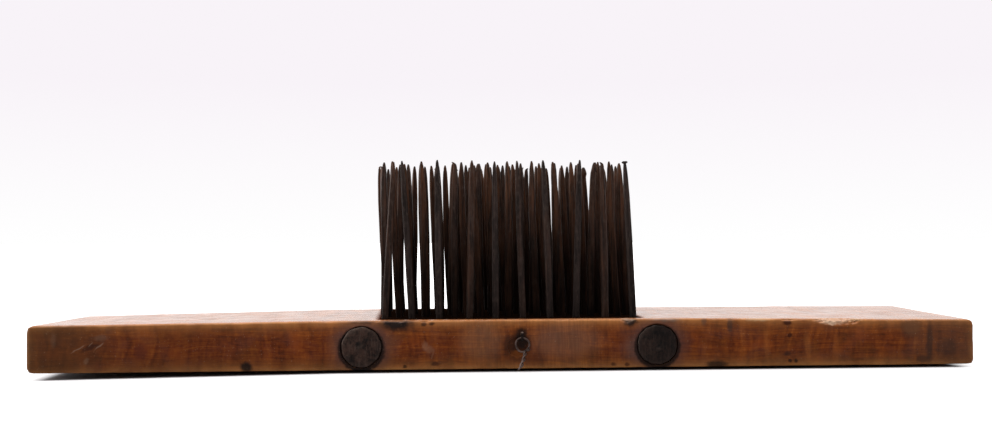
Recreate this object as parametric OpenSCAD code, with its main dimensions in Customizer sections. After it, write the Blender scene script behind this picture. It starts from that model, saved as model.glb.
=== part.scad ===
// Flax hatchel: a plank with a block of long iron teeth, for dressing flax.
// X runs along the board, Y from its front edge to its back edge, and Z up.
// The origin is the middle of the board's underside.

/* [Board] */
// Length of the board
board_l = 602; // [460:2:760]
// Width of the board, from its front edge to its back edge
board_w = 140; // [134:2:220]
// Thickness of the board where the teeth stand
board_t = 31.5; // [29:0.5:44]
// Length of the level stretch in the middle of the top, where the teeth stand
level_l = 216; // [200:4:260]
// How much thinner the top is planed towards the left end
left_thinning = 2.6; // [0.4:0.1:4]
// How much thinner the top is planed towards the right end
right_thinning = 1.4; // [0.4:0.1:4]
// Wear radius along the top edges
top_arris_r = 2; // [0.8:0.2:3.6]
// Wear radius along the bottom edges
bottom_arris_r = 0.8; // [0.4:0.2:2]
// Wear radius along the edges of the two ends
end_arris_r = 2.6; // [0.8:0.2:4]
// Radius of the two front corners, seen from above
front_corner_r = 2.5; // [1:0.5:10]
// Radius of the back left corner, seen from above
back_left_corner_r = 7; // [1:0.5:16]
// Radius of the worn back right corner, seen from above
back_right_corner_r = 16; // [1:0.5:24]

/* [Teeth] */
// Teeth in each long row; the short rows between them have one less
teeth_in_long_row = 10; // [6:1:10]
// Spacing of the teeth along a row
tooth_pitch = 17.9; // [16:0.1:18.4]
// Spacing of the rows, front to back
row_pitch = 11.5; // [11:0.1:12]
// Distance from the front edge of the board to the front row
front_margin = 19; // [18:0.5:24]
// Sideways place of the block of teeth on the board
block_shift = 1; // [-2:0.5:2]
// Width of a tooth's square shank at the board
tooth_w = 4.4; // [3.4:0.1:4.5]
// Height of the longest teeth above the board
tooth_h = 102; // [70:0.5:130]
// Width of a tooth at its very tip
tip_w = 0.7; // [0.5:0.1:1.2]
// Width of a tooth at its foot, near the underside of the board
foot_w = 3.3; // [2.4:0.1:3.4]
// Gap between the foot of a tooth and the underside
foot_gap = 0.3; // [0.2:0.1:1]
// Most that a tooth leans to one side, in degrees
lean_max = 1.6; // [0:0.1:2.4]
// Most that a tooth leans to the front or back, in degrees
tilt_max = 0.7; // [0:0.1:0.8]
// Most that a tooth is turned about its own axis, in degrees
turn_max = 12; // [0:1:12]
// Most that a tooth behind the front row stands off its place
stray = 0.4; // [0:0.1:0.5]
// Most that a tooth falls short of the longest ones
shortfall = 1; // [0:0.5:8]
// Clearance all round between a tooth and its hole
hole_gap = 0.05; // [0.03:0.01:0.12]

/* [Tie rods] */
// Distance of each tie rod from the end teeth of the long rows
rod_margin = 13.4; // [12:0.2:18]
// Height of the tie rods above the underside
rod_z = 14.6; // [13.8:0.2:15]
// Diameter of a tie rod
rod_d = 7; // [5:0.5:9]
// Width of the rim that riveting spreads round the end of a tie rod
rivet_rim = 1; // [0.6:0.1:2]
// Height of a riveted end over its washer
rivet_h = 0.6; // [0.4:0.1:1.5]
// Diameter of a washer
washer_d = 25; // [20:0.5:25.5]
// Thickness of a washer
washer_t = 2.6; // [1.5:0.1:5]
// How far a washer stands out of the edge of the board
washer_proud = 0.3; // [0.1:0.1:0.8]
// Clearance round a washer in its recess
washer_gap = 0.5; // [0.1:0.05:0.6]
// Clearance round a tie rod in the board and in its washers
rod_gap = 0.05; // [0.03:0.01:0.1]

/* [Nail and wire loop] */
// Sideways place of the nail
nail_x = 7.1; // [4:0.1:8]
// Height of the nail above the underside
nail_z = 18; // [17.4:0.1:19]
// Diameter of the nail
nail_d = 1.8; // [1.4:0.1:2]
// Length of the nail in the board
nail_grip = 14; // [8:1:14]
// Clearance round the nail in the board
nail_gap = 0.05; // [0.03:0.01:0.1]
// Length of the straight part of the nail in front of the board
nail_reach = 3.6; // [3.4:0.1:6]
// Length of the part of the nail that is bent up
nail_hook_l = 5.6; // [4:0.2:9]
// Slope of the part of the nail that is bent up, in degrees
nail_hook_slope = 58; // [40:1:80]
// Diameter of the nail's head
nail_head_d = 3.2; // [2.6:0.1:4]
// Thickness of the nail's head
nail_head_t = 0.9; // [0.6:0.1:1.4]
// Diameter of the shallow round recess behind the loop
recess_d = 13; // [12:0.5:15]
// Depth of the shallow round recess
recess_depth = 1; // [0.4:0.1:2]
// Sideways place of the middle of the recess
recess_x = 4.4; // [3.6:0.1:7]
// Height of the middle of the recess above the underside
recess_z = 13.9; // [13:0.1:16]
// Thickness of the wire
wire_d = 1.2; // [0.8:0.1:1.4]
// Radius of the loop, to the middle of the wire
loop_r = 4.3; // [4:0.1:5]
// Distance from the edge of the board to the middle of the wire
wire_stand_off = 1.5; // [1.3:0.1:1.8]
// Play between the loop and the nail
loop_play = 0.12; // [0.08:0.02:0.3]
// Angle by which the middle of the loop hangs to the right of the nail
loop_swing = 10; // [0:1:20]
// Angle that the spare end of the wire covers, outside the loop
spare_end_angle = 48; // [30:1:90]
// Sideways place of the tip of the twisted tail
tail_tip_x = 4.2; // [1:0.2:5]
// Height of the tip of the twisted tail above the underside
tail_tip_z = 1.9; // [1.9:0.1:4]
// Distance of the tip of the twisted tail from the edge of the board
tail_reach = 20; // [8:0.5:24]
// Turns in the twisted tail
tail_turns = 1.75; // [1:0.25:3]

/* [Hidden] */

$fn = 48;
row_count = 9;
eps = 1;

wood = "#7d4a25";
forged_iron = "#2f2825";
washer_iron = "#2a2322";
wire_iron = "#4d423d";

front_y = -board_w / 2;
back_y = board_w / 2;
planed_l = (board_l - level_l) / 2;

// Widths of a tooth between the board and the tip: [share of its height, share of its full width]
taper = [[0.45, 0.99], [0.8, 0.8], [0.93, 0.52]];
// Lean of each tooth of the front row, left to right, in degrees
front_lean = [3.4, -3.5, -0.6, 1.1, -0.3, -2, -2.2, 1.6, -0.7, -2.7];
// How far each tooth of the front row stands sideways off its place
front_stray = [-0.05, -0.55, -0.75, 0.75, -0.05, -0.35, -0.75, -1.65, -0.55, -0.15];
// Lean that the rest of the block shares, in degrees
shared_lean = -1.4;
// Steps round a full turn that never line up again, so that no two teeth are alike
golden_angle = 137.508;
// Where each kind of unevenness starts on that turn, in degrees
stray_x_phase = 237;
stray_y_phase = 354;
lean_phase = 287;
tilt_phase = 197;
turn_phase = 20;
height_phase = 89;

rod_x = (teeth_in_long_row - 1) / 2 * tooth_pitch + rod_margin;
washer_sunk = washer_t - washer_proud;

wire_y = front_y - wire_stand_off;
loop_drop = loop_r - wire_d / 2 - nail_d / 2 - loop_play;
loop_x = nail_x + loop_drop * sin(loop_swing);
loop_z = nail_z - loop_drop * cos(loop_swing);
spare_end_from = -24;
// The wires press into one another a little where they lie side by side
strand_r = 0.48 * wire_d;
spare_end_r = loop_r + 0.92 * wire_d;
tail_from = -64;
strand_facets = 10;
ring_facets = 24;
twist_slices = 20;
tail_top = [loop_x + loop_r * cos(tail_from), wire_y, loop_z + loop_r * sin(tail_from)];
tail_tip = [tail_tip_x, front_y - tail_reach, tail_tip_z];

// A value from -1 to 1 for tooth number k that doesn't repeat from tooth to tooth
function scatter(k, phase) = sin(k * golden_angle + phase);

function teeth_in(row) = row % 2 == 0 ? teeth_in_long_row : teeth_in_long_row - 1;
function serial(row, i) = row * teeth_in_long_row + i;
function tooth_stray(row, i) =
    row == 0 ? front_stray[i % len(front_stray)] : stray * scatter(serial(row, i), stray_x_phase);
function tooth_x(row, i) =
    block_shift + (i - (teeth_in(row) - 1) / 2) * tooth_pitch + tooth_stray(row, i);
function tooth_y(row, i) =
    front_y + front_margin + row * row_pitch + stray * scatter(serial(row, i), stray_y_phase);
function tooth_lean(row, i) =
    row == 0 ? front_lean[i % len(front_lean)]
        : shared_lean + lean_max * scatter(serial(row, i), lean_phase);
function tooth_tilt(row, i) = tilt_max * scatter(serial(row, i), tilt_phase);
function tooth_turn(row, i) = turn_max * scatter(serial(row, i), turn_phase);
function tooth_height(row, i) = tooth_h - shortfall * pow(scatter(serial(row, i), height_phase), 4);

// Half the outline of a tooth, as [half width, height over the board], foot first
function tooth_edge(h) = concat(
    [[foot_w / 2, foot_gap - board_t], [tooth_w / 2, 0]],
    [for (t = taper) [t[1] * tooth_w / 2, t[0] * h]],
    [[tip_w / 2, h]]);

// Half the outline of a tooth's hole, which runs past both faces of the board
function hole_edge() = [
    [foot_w / 2 + hole_gap, -board_t - eps],
    [foot_w / 2 + hole_gap, foot_gap - board_t],
    [tooth_w / 2 + hole_gap, 0],
    [tooth_w / 2 + hole_gap, eps]];

// The waste outside a rounded corner that lies at the origin
module corner_waste(r)
    difference() {
        translate([-eps, -eps])
            square(r + eps);
        translate([r, r])
            circle(r);
    }

// A rectangle, its lower left corner at the origin, with a radius for each corner
module rounded_sheet(w, h, lower_left, lower_right, upper_left, upper_right)
    difference() {
        square([w, h]);
        corner_waste(lower_left);
        translate([w, 0])
            mirror([1, 0])
                corner_waste(lower_right);
        translate([0, h])
            mirror([0, 1])
                corner_waste(upper_left);
        translate([w, h])
            rotate(180)
                corner_waste(upper_right);
    }

// A long bar along X with its top at z = 0 and all its long edges worn round
module worn_bar(depth, lower_r, upper_r)
    rotate([90, 0, 90])
        linear_extrude(2 * board_l, center = true)
            translate([front_y, -depth])
                rounded_sheet(board_w, depth, lower_r, lower_r, upper_r, upper_r);

// The plank before any hole is made: one bar for each planed face, and the outline from above
module plank()
    intersection() {
        translate([0, 0, board_t])
            worn_bar(board_t, bottom_arris_r, top_arris_r);
        translate([-level_l / 2, 0, board_t])
            rotate([0, -atan(left_thinning / planed_l), 0])
                worn_bar(2 * board_t, bottom_arris_r, top_arris_r);
        translate([level_l / 2, 0, board_t])
            rotate([0, atan(right_thinning / planed_l), 0])
                worn_bar(2 * board_t, bottom_arris_r, top_arris_r);
        translate([-board_l / 2, front_y, -eps])
            linear_extrude(board_t + 2 * eps)
                rounded_sheet(board_l, board_w, front_corner_r, front_corner_r,
                    back_left_corner_r, back_right_corner_r);
    }

// The wear along the edges of both ends, as waste to cut away
module end_wear()
    rotate([90, 0, 0])
        linear_extrude(board_w + 2 * eps, center = true) {
            translate([-board_l / 2, 0])
                corner_waste(end_arris_r);
            translate([-board_l / 2, board_t - left_thinning])
                mirror([0, 1])
                    corner_waste(end_arris_r);
            translate([board_l / 2, 0])
                mirror([1, 0])
                    corner_waste(end_arris_r);
            translate([board_l / 2, board_t - right_thinning])
                rotate(180)
                    corner_waste(end_arris_r);
        }

// A square spike that has the same tapering outline from the front and from the side
module spike(edge) {
    outline = concat(edge, [for (i = [len(edge) - 1 : -1 : 0]) [-edge[i][0], edge[i][1]]]);
    intersection() {
        rotate([90, 0, 0])
            linear_extrude(2 * tooth_w, center = true)
                polygon(outline);
        rotate([90, 0, 90])
            linear_extrude(2 * tooth_w, center = true)
                polygon(outline);
    }
}

// Puts a spike where tooth i of a row stands, with that tooth's own lean and turn
module at_tooth(row, i)
    translate([tooth_x(row, i), tooth_y(row, i), board_t])
        rotate([tooth_tilt(row, i), tooth_lean(row, i), 0])
            rotate([0, 0, tooth_turn(row, i)])
                children();

// A cylinder along Y, from one y to another
module rod_along_y(x, z, d, from_y, to_y)
    translate([x, to_y, z])
        rotate([90, 0, 0])
            cylinder(h = to_y - from_y, d = d);

module board() color(wood)
    difference() {
        plank();
        end_wear();
        for (row = [0 : row_count - 1])
            for (i = [0 : teeth_in(row) - 1])
                at_tooth(row, i)
                    spike(hole_edge());
        for (x = [-rod_x, rod_x]) {
            rod_along_y(x, rod_z, rod_d + 2 * rod_gap, front_y - eps, back_y + eps);
            rod_along_y(x, rod_z, washer_d + 2 * washer_gap, front_y - eps, front_y + washer_sunk);
            rod_along_y(x, rod_z, washer_d + 2 * washer_gap, back_y - washer_sunk, back_y + eps);
        }
        rod_along_y(recess_x, recess_z, recess_d, front_y - eps, front_y + recess_depth);
        rod_along_y(nail_x, nail_z, nail_d + 2 * nail_gap, front_y, front_y + nail_grip);
    }

// One row of forged teeth, each a separate solid; rows count from the front
module tooth_row(row) color(forged_iron)
    for (i = [0 : teeth_in(row) - 1])
        at_tooth(row, i)
            spike(tooth_edge(tooth_height(row, i)));

// An iron rod through the width of the board, riveted over a washer at both ends
module tie_rod(x) color(washer_iron) {
    rod_along_y(x, rod_z, rod_d, front_y - washer_proud, back_y + washer_proud);
    translate([x, back_y + washer_proud, rod_z])
        rotate([-90, 0, 0])
            rivet();
    translate([x, front_y - washer_proud, rod_z])
        rotate([90, 0, 0])
            rivet();
}

module rivet()
    cylinder(h = rivet_h, d1 = rod_d + 2 * rivet_rim, d2 = rod_d - rivet_rim);

// A washer let into the edge of the board, with its outer face at outer_y
module washer(x, outer_y, inwards) color(washer_iron)
    difference() {
        rod_along_y(x, rod_z, washer_d, min(outer_y, outer_y + inwards * washer_t),
            max(outer_y, outer_y + inwards * washer_t));
        rod_along_y(x, rod_z, rod_d + 2 * rod_gap, outer_y - washer_t - eps, outer_y + washer_t + eps);
    }

module front_washer(x) washer(x, front_y - washer_proud, 1);
module back_washer(x) washer(x, back_y + washer_proud, -1);

// A nail driven straight into the front edge, with its end bent up to keep the loop on it
module wire_nail() color(wire_iron) {
    bend_y = front_y - nail_reach;
    rod_along_y(nail_x, nail_z, nail_d, bend_y, front_y + nail_grip - nail_gap);
    translate([nail_x, bend_y, nail_z]) {
        sphere(d = nail_d);
        rotate([90 - nail_hook_slope, 0, 0]) {
            cylinder(h = nail_hook_l, d = nail_d);
            translate([0, 0, nail_hook_l - nail_head_t])
                cylinder(h = nail_head_t, d = nail_head_d);
        }
    }
}

// Two strands of wire twisted together, from the origin up
module twisted_pair(length)
    linear_extrude(length, twist = -360 * tail_turns, slices = twist_slices)
        for (side = [-1, 1])
            translate([side * strand_r, 0])
                circle(d = wire_d, $fn = strand_facets);

// A bent wire: a round loop with a spare end outside it, and a twisted tail
module wire_loop() color(wire_iron) {
    run = tail_tip - tail_top;
    tail_l = norm(run);
    translate([loop_x, wire_y, loop_z])
        rotate([90, 0, 0]) {
            rotate_extrude()
                translate([loop_r, 0])
                    circle(d = wire_d, $fn = ring_facets);
            rotate(spare_end_from)
                rotate_extrude(angle = spare_end_angle)
                    translate([spare_end_r, 0])
                        circle(d = wire_d, $fn = ring_facets);
        }
    translate(tail_top)
        rotate([0, acos(run[2] / tail_l), atan2(run[1], run[0])])
            twisted_pair(tail_l);
}

board();
tooth_row(0);  // tooth_row_1
tooth_row(1);  // tooth_row_2
tooth_row(2);  // tooth_row_3
tooth_row(3);  // tooth_row_4
tooth_row(4);  // tooth_row_5
tooth_row(5);  // tooth_row_6
tooth_row(6);  // tooth_row_7
tooth_row(7);  // tooth_row_8
tooth_row(8);  // tooth_row_9
tie_rod(-rod_x);  // left_tie_rod
tie_rod(rod_x);  // right_tie_rod
front_washer(-rod_x);  // left_front_washer
back_washer(-rod_x);  // left_back_washer
front_washer(rod_x);  // right_front_washer
back_washer(rod_x);  // right_back_washer
wire_nail();
wire_loop();
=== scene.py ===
import math

import bmesh
import bpy
from mathutils import Matrix, Vector, noise


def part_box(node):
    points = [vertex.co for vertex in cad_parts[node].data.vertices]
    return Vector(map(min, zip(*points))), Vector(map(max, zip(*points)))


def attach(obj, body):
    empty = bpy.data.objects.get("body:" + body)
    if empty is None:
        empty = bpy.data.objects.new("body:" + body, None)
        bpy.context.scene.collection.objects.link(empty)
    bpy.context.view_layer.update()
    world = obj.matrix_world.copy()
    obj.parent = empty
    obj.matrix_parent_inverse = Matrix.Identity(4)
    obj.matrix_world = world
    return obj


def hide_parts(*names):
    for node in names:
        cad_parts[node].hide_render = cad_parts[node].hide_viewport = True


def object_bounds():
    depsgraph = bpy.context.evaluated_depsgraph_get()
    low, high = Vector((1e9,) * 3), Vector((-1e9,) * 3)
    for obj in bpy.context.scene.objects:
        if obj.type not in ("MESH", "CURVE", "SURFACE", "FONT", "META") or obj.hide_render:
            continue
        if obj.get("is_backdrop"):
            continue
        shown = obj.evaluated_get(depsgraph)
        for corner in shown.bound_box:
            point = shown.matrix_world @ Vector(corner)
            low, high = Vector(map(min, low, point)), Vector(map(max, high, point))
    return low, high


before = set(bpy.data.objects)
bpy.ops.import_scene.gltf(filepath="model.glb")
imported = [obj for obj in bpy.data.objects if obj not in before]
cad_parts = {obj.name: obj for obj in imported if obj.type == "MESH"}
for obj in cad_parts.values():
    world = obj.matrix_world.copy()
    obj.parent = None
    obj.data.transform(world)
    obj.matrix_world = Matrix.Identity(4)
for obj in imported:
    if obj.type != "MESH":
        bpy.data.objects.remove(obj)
cad_low, cad_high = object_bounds()

# Camera: it stands a little above the board, 815 mm in front of it and left of its middle,
# and looks very slightly upwards.
MM = 0.001
camera_place = Vector((-56.8, -885.4, 82.0)) * MM
camera_turn = math.radians(3.372)
camera_rise = math.radians(0.930)
camera_roll = math.radians(-0.264)
camera_lens = 46.81
film_width = 36
nearest_seen = 50 * MM

camera = bpy.data.objects.new("camera", bpy.data.cameras.new("camera"))
bpy.context.scene.collection.objects.link(camera)
bpy.context.scene.camera = camera
camera.data.sensor_width = film_width
camera.data.lens = camera_lens
camera.data.clip_start = nearest_seen
camera.matrix_world = (
    Matrix.Translation(camera_place)
    @ Matrix.Rotation(-camera_turn, 4, "Z")
    @ Matrix.Rotation(math.pi / 2 + camera_rise, 4, "X")
    @ Matrix.Rotation(camera_roll, 4, "Z")
)


# Light: a pale dome all round, one large soft box overhead, a little behind the teeth, and a
# narrow one on the left that picks out the left facets of the teeth.
# The dome shows white at the level of the table, and faintly lilac higher up.
def colour(hex_value):
    """An sRGB hex colour as the linear colour that a socket takes."""
    parts = [int(hex_value[i:i + 2], 16) / 255 for i in (1, 3, 5)]
    return [c / 12.92 if c <= 0.04045 else ((c + 0.055) / 1.055) ** 2.4 for c in parts] + [1]


def add(tree, kind, inputs=None, output=None, ramp=None, **settings):
    """Adds a node; inputs are values, or sockets to link. Gives back one of its outputs."""
    made = tree.nodes.new(kind)
    for name, value in settings.items():
        setattr(made, name, value)
    for stop, (place, shade) in enumerate(ramp or []):
        stops = made.color_ramp.elements
        spot = stops[stop] if stop < 2 else stops.new(place)
        spot.position = place
        spot.color = colour(shade)
    for key, value in (inputs or {}).items():
        open_sockets = [s for s in made.inputs if s.enabled]
        socket = open_sockets[key] if isinstance(key, int) else made.inputs[key]
        if isinstance(value, bpy.types.NodeSocket):
            tree.links.new(value, socket)
        else:
            socket.default_value = value
    if output is not None:
        return made.outputs[output]
    return next((s for s in made.outputs if s.enabled), None)


dome_front = 0.20
dome_back = 1.25
mirror_front = 0.05
mirror_back = 1.17
glow_way = (-0.10, 0.50, 0.86)
world = bpy.data.worlds.new("studio")
bpy.context.scene.world = world
world.use_nodes = True
sky = world.node_tree
sky.nodes.clear()
sky_way = add(sky, "ShaderNodeTexCoord", output="Generated")
sky_height = add(sky, "ShaderNodeSeparateXYZ", {0: sky_way}, output="Z")
sky_tint = add(sky, "ShaderNodeValToRGB",
               {0: add(sky, "ShaderNodeMapRange", {0: sky_height, 2: 0.12})},
               ramp=[(0.0, "#ffffff"), (1.0, "#f8f3f8")])
sky_side = add(sky, "ShaderNodeVectorMath", {0: sky_way, 1: glow_way}, output="Value",
               operation="DOT_PRODUCT")
sky_glow = add(sky, "ShaderNodeMapRange", {
    0: sky_side, 1: -0.35, 2: 0.75, 3: dome_front, 4: dome_back},
    interpolation_type="SMOOTHSTEP")
sky_gloss = add(sky, "ShaderNodeMapRange", {
    0: sky_side, 1: -0.45, 2: 0.50, 3: mirror_front, 4: mirror_back},
    interpolation_type="SMOOTHSTEP")
sky_seen = add(sky, "ShaderNodeMath", {
    0: add(sky, "ShaderNodeLightPath", output="Is Camera Ray"),
    1: add(sky, "ShaderNodeLightPath", output="Is Transmission Ray")},
    operation="ADD", use_clamp=True)
sky_lit = add(sky, "ShaderNodeMixShader", {
    0: add(sky, "ShaderNodeLightPath", output="Is Glossy Ray"),
    1: add(sky, "ShaderNodeBackground", {0: colour("#ffffff"), 1: sky_glow}),
    2: add(sky, "ShaderNodeBackground", {0: colour("#ffffff"), 1: sky_gloss})})
add(sky, "ShaderNodeOutputWorld", {0: add(sky, "ShaderNodeMixShader", {
    0: sky_seen,
    1: sky_lit,
    2: add(sky, "ShaderNodeBackground", {0: sky_tint, 1: 1.0})})})

box_power = 8
box_depth = 0.9
for name, box_width, stand in (("soft_box", 1.6, (-0.15, 0.30, 1.3)),
                               ("side_box", 0.5, (-1.5, -0.12, 0.5))):
    box = bpy.data.objects.new(name, bpy.data.lights.new(name, "AREA"))
    bpy.context.scene.collection.objects.link(box)
    box.data.shape = "RECTANGLE"
    box.data.size = box_width
    box.data.size_y = box_depth
    box.data.energy = box_power
    box.location = stand
    box.rotation_euler = (box.location * -1).to_track_quat("-Z", "Y").to_euler()

# Table: a plain white sheet. It sags a little below the left end of the board, which shows
# as a thin dark wedge there, and it fades to pure white away from the board.
table_gap = 1.75 * MM
table_sag = 2.75 * MM
sag_from = -110 * MM
sag_to = -310 * MM
table_size = 60
shadow_core = (288, 66, 10000)
shadow_reach = 11

bm = bmesh.new()
sheet = []
for x, z in ((-table_size / 2, table_gap + table_sag), (sag_to, table_gap + table_sag),
             (sag_from, table_gap), (table_size / 2, table_gap)):
    sheet.append([bm.verts.new((x, y, cad_low.z - z)) for y in (-table_size / 2, table_size / 2)])
for (near_a, far_a), (near_b, far_b) in zip(sheet, sheet[1:]):
    bm.faces.new((near_a, near_b, far_b, far_a))
table_mesh = bpy.data.meshes.new("table")
bm.to_mesh(table_mesh)
bm.free()
table = bpy.data.objects.new("table", table_mesh)
bpy.context.scene.collection.objects.link(table)
table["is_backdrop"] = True


def start_material(name):
    """A new material, its empty node tree, and its Object coordinates in mm."""
    material = bpy.data.materials.new(name)
    material.use_nodes = True
    tree = material.node_tree
    tree.nodes.clear()
    place = add(tree, "ShaderNodeVectorMath", {
        0: add(tree, "ShaderNodeTexCoord", output="Object"), "Scale": 1 / MM}, operation="SCALE")
    return material, tree, place


def distance_outside(tree, place, middle, half):
    """How far a place lies outside a box with that middle and half size, in mm."""
    off = add(tree, "ShaderNodeVectorMath", {0: place, 1: middle}, operation="SUBTRACT")
    off = add(tree, "ShaderNodeVectorMath", {0: off}, operation="ABSOLUTE")
    off = add(tree, "ShaderNodeVectorMath", {0: off, 1: half}, operation="SUBTRACT")
    off = add(tree, "ShaderNodeVectorMath", {0: off, 1: (0, 0, 0)}, operation="MAXIMUM")
    return add(tree, "ShaderNodeVectorMath", {0: off}, output="Value", operation="LENGTH")


# White paper is matt and shows no gloss; it keeps its real soft shadow close round the board.
# Past the shadow's reach it is lifted to pure white for the camera alone, and the lift fades out
# towards the board, which lays a painted shade round it as well.
paper, tree, place = start_material("white_paper_sweep")
distance = distance_outside(tree, place, (0, 0, 0), shadow_core)
lift = add(tree, "ShaderNodeMapRange", {0: distance, 2: shadow_reach, 4: 0.62},
           interpolation_type="SMOOTHSTEP")
far = add(tree, "ShaderNodeMapRange", {0: distance, 1: 300.0, 2: 1600.0, 4: 0.6})
glow = add(tree, "ShaderNodeMath", {0: lift, 1: far}, operation="ADD")
seen = add(tree, "ShaderNodeLightPath", output="Is Camera Ray")
glow = add(tree, "ShaderNodeMath", {0: glow, 1: seen}, operation="MULTIPLY")
add(tree, "ShaderNodeOutputMaterial", {0: add(tree, "ShaderNodeAddShader", {
    0: add(tree, "ShaderNodeBsdfDiffuse", {0: colour("#cbc9cb")}),
    1: add(tree, "ShaderNodeEmission", {0: colour("#ffffff"), 1: glow})})})
table_mesh.materials.append(paper)

# Board: a plank of old curly hardwood, planed by hand and oiled, a little thinner at the ends.
# Its arrises are worn round, one back corner more than the others, and it carries knocks,
# burns and stains. It holds the teeth in square holes and the rods in round ones.
board_low, board_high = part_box("board")
front = board_low.y
back = board_high.y
half_length = board_high.x
top = board_high.z
level_half = 108 * MM
left_drop = (1.6 * MM, 3.7 * MM)
right_drop = (2.4 * MM, 0.4 * MM)
arris_radius = {1: 2.0 * MM, -1: 0.8 * MM}
end_radius = 4.8 * MM
corner_radii = {(-1, -1): 2.5, (1, -1): 2.5, (-1, 1): 7, (1, 1): 16}
mesh_step = 2.5 * MM
touching = 1e-5
worn_width = 5 * MM


def top_at(x, y):
    """Height of the planed top, which is a little in wind towards both ends."""
    beyond = max(abs(x) - level_half, 0) / (half_length - level_half)
    near, far = left_drop if x < 0 else right_drop
    return top - beyond * (near + (far - near) * (y - front) / (back - front))


def keep(bm, name, crisp=35):
    """Makes a finished mesh object of bm, smooth but for edges sharper than crisp degrees."""
    bmesh.ops.recalc_face_normals(bm, faces=bm.faces)
    mesh = bpy.data.meshes.new(name)
    bm.to_mesh(mesh)
    bm.free()
    piece = bpy.data.objects.new(name, mesh)
    bpy.context.scene.collection.objects.link(piece)
    mesh.shade_smooth()
    mesh.set_sharp_from_angle(angle=math.radians(crisp))
    return piece


def cut_across(bm, axis, places):
    """Cuts the whole mesh by a plane square to the axis at each place."""
    direction = Vector([float(a == axis) for a in range(3)])
    for at in places:
        bmesh.ops.bisect_plane(bm, geom=bm.verts[:] + bm.edges[:] + bm.faces[:],
                               plane_co=direction * at, plane_no=direction, dist=1e-6)


def steps(low, high, step):
    """Evenly spaced places between two bounds, about one step apart."""
    count = max(round((high - low) / step), 1)
    return [low + (high - low) * i / count for i in range(1, count)]


bm = bmesh.new()
bmesh.ops.create_cube(bm, size=1)
bmesh.ops.scale(bm, verts=bm.verts, vec=(2 * half_length, back - front, top))
bmesh.ops.translate(bm, verts=bm.verts, vec=(0, (front + back) / 2, top / 2))
for (side_x, side_y), radius in corner_radii.items():
    upright = [e for e in bm.edges if all(
        v.co.x * side_x > half_length - touching and v.co.y * side_y > back - touching
        for v in e.verts)]
    bmesh.ops.bevel(bm, geom=upright, offset=radius * MM, segments=6, profile=0.5,
                    affect="EDGES", material=-1)
for level, radius in arris_radius.items():
    rims = [e for e in bm.edges
            if all((v.co.z - top / 2) * level > top / 2 - touching for v in e.verts)]
    bmesh.ops.bevel(bm, geom=rims, offset=radius, segments=5 if level > 0 else 3, profile=0.5,
                    affect="EDGES", material=-1)
cut_across(bm, 0, steps(-half_length, half_length, mesh_step))
cut_across(bm, 1, steps(front + arris_radius[1], back - arris_radius[1], mesh_step))
cut_across(bm, 2, steps(arris_radius[-1], top - arris_radius[1], mesh_step))

chips = [
    # middle of the knock, its half sizes and its depth, in mm
    ((212, -70, 31), (13, 5, 4.4), 1.5),
    ((200, -70, 31), (6, 3, 2.5), 0.7),
    ((222, -70, 30), (4, 3, 2.5), 0.8),
    ((75.5, -70, 31), (5, 3.5, 3.4), 1.3),
    ((-74.6, -70, 31), (10, 4, 3.8), 0.5),
    ((178, -70, 31), (4, 3, 2), 0.6),
    ((-54, -70, 31), (3, 2, 2), 0.5),
    ((140.5, -70, 31), (2.5, 2, 3), 0.4),
    ((-236, 70, 31), (9, 5, 4), 1.0),
    ((60, 70, 31), (7, 4, 3), 0.9),
    ((-300, 30, 30), (4, 8, 4), 0.9),
    ((300, -40, 30), (4, 6, 4), 0.8),
]

# The two ends are rounded over, and extra cuts there let the mesh follow the round.
cut_across(bm, 0, [side * (half_length - at * end_radius)
                   for side in (-1, 1) for at in (0.12, 0.35, 0.65, 1.0)])
cut_across(bm, 2, [at * end_radius for at in (0.6, 1.0)])
for vert in bm.verts:
    corner = Vector((abs(vert.co.x) - half_length, 0, abs(vert.co.z - top / 2) - top / 2))
    corner += Vector((end_radius, 0, end_radius))
    if min(corner.x, corner.z) > 0 and corner.length > end_radius:
        excess = corner * (1 - end_radius / corner.length)
        vert.co.x -= math.copysign(excess.x, vert.co.x)
        vert.co.z -= math.copysign(excess.z, vert.co.z - top / 2)

for middle, size, depth in chips:
    reach = [s * MM + mesh_step for s in size]
    near = [e for e in bm.edges
            if all(abs(v.co[a] - middle[a] * MM) < reach[a] for v in e.verts for a in range(3))]
    bmesh.ops.subdivide_edges(bm, edges=near, cuts=2, use_grid_fill=True)

# The planed faces wander a little, the worn arrises are nicked, and the knocks are torn out.
bm.normal_update()
for vert in bm.verts:
    at = vert.co.copy()
    outwards = vert.normal.copy()
    share = at.z / top
    vert.co.z = top_at(at.x, at.y) * share
    to_arris = sorted([half_length - abs(at.x), back - abs(at.y), min(at.z, top - at.z)])
    worn = max(0, 1 - math.hypot(to_arris[0], to_arris[1]) / worn_width)
    wander = 0.18 * noise.noise(at / (45 * MM)) + 0.08 * noise.noise(at / (9 * MM))
    nicked = worn * (0.25 + 0.9 * max(0, noise.noise(at / (6 * MM)) - 0.12)
                     + 0.5 * noise.noise(at / (38 * MM)))
    sunk = 0.16 - 0.6 * wander + max(0, nicked) * (1 if at.z > top / 2 else 0.3)
    for middle, size, depth in chips:
        off = Vector([(at[a] / MM - middle[a]) / size[a] for a in range(3)])
        ragged = 1 - off.length + 0.35 * noise.noise(at / (2.2 * MM))
        sunk += depth * min(1, max(0, ragged) * 1.8)
    vert.co -= outwards * sunk * MM
board = keep(bm, "plank", crisp=50)

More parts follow.
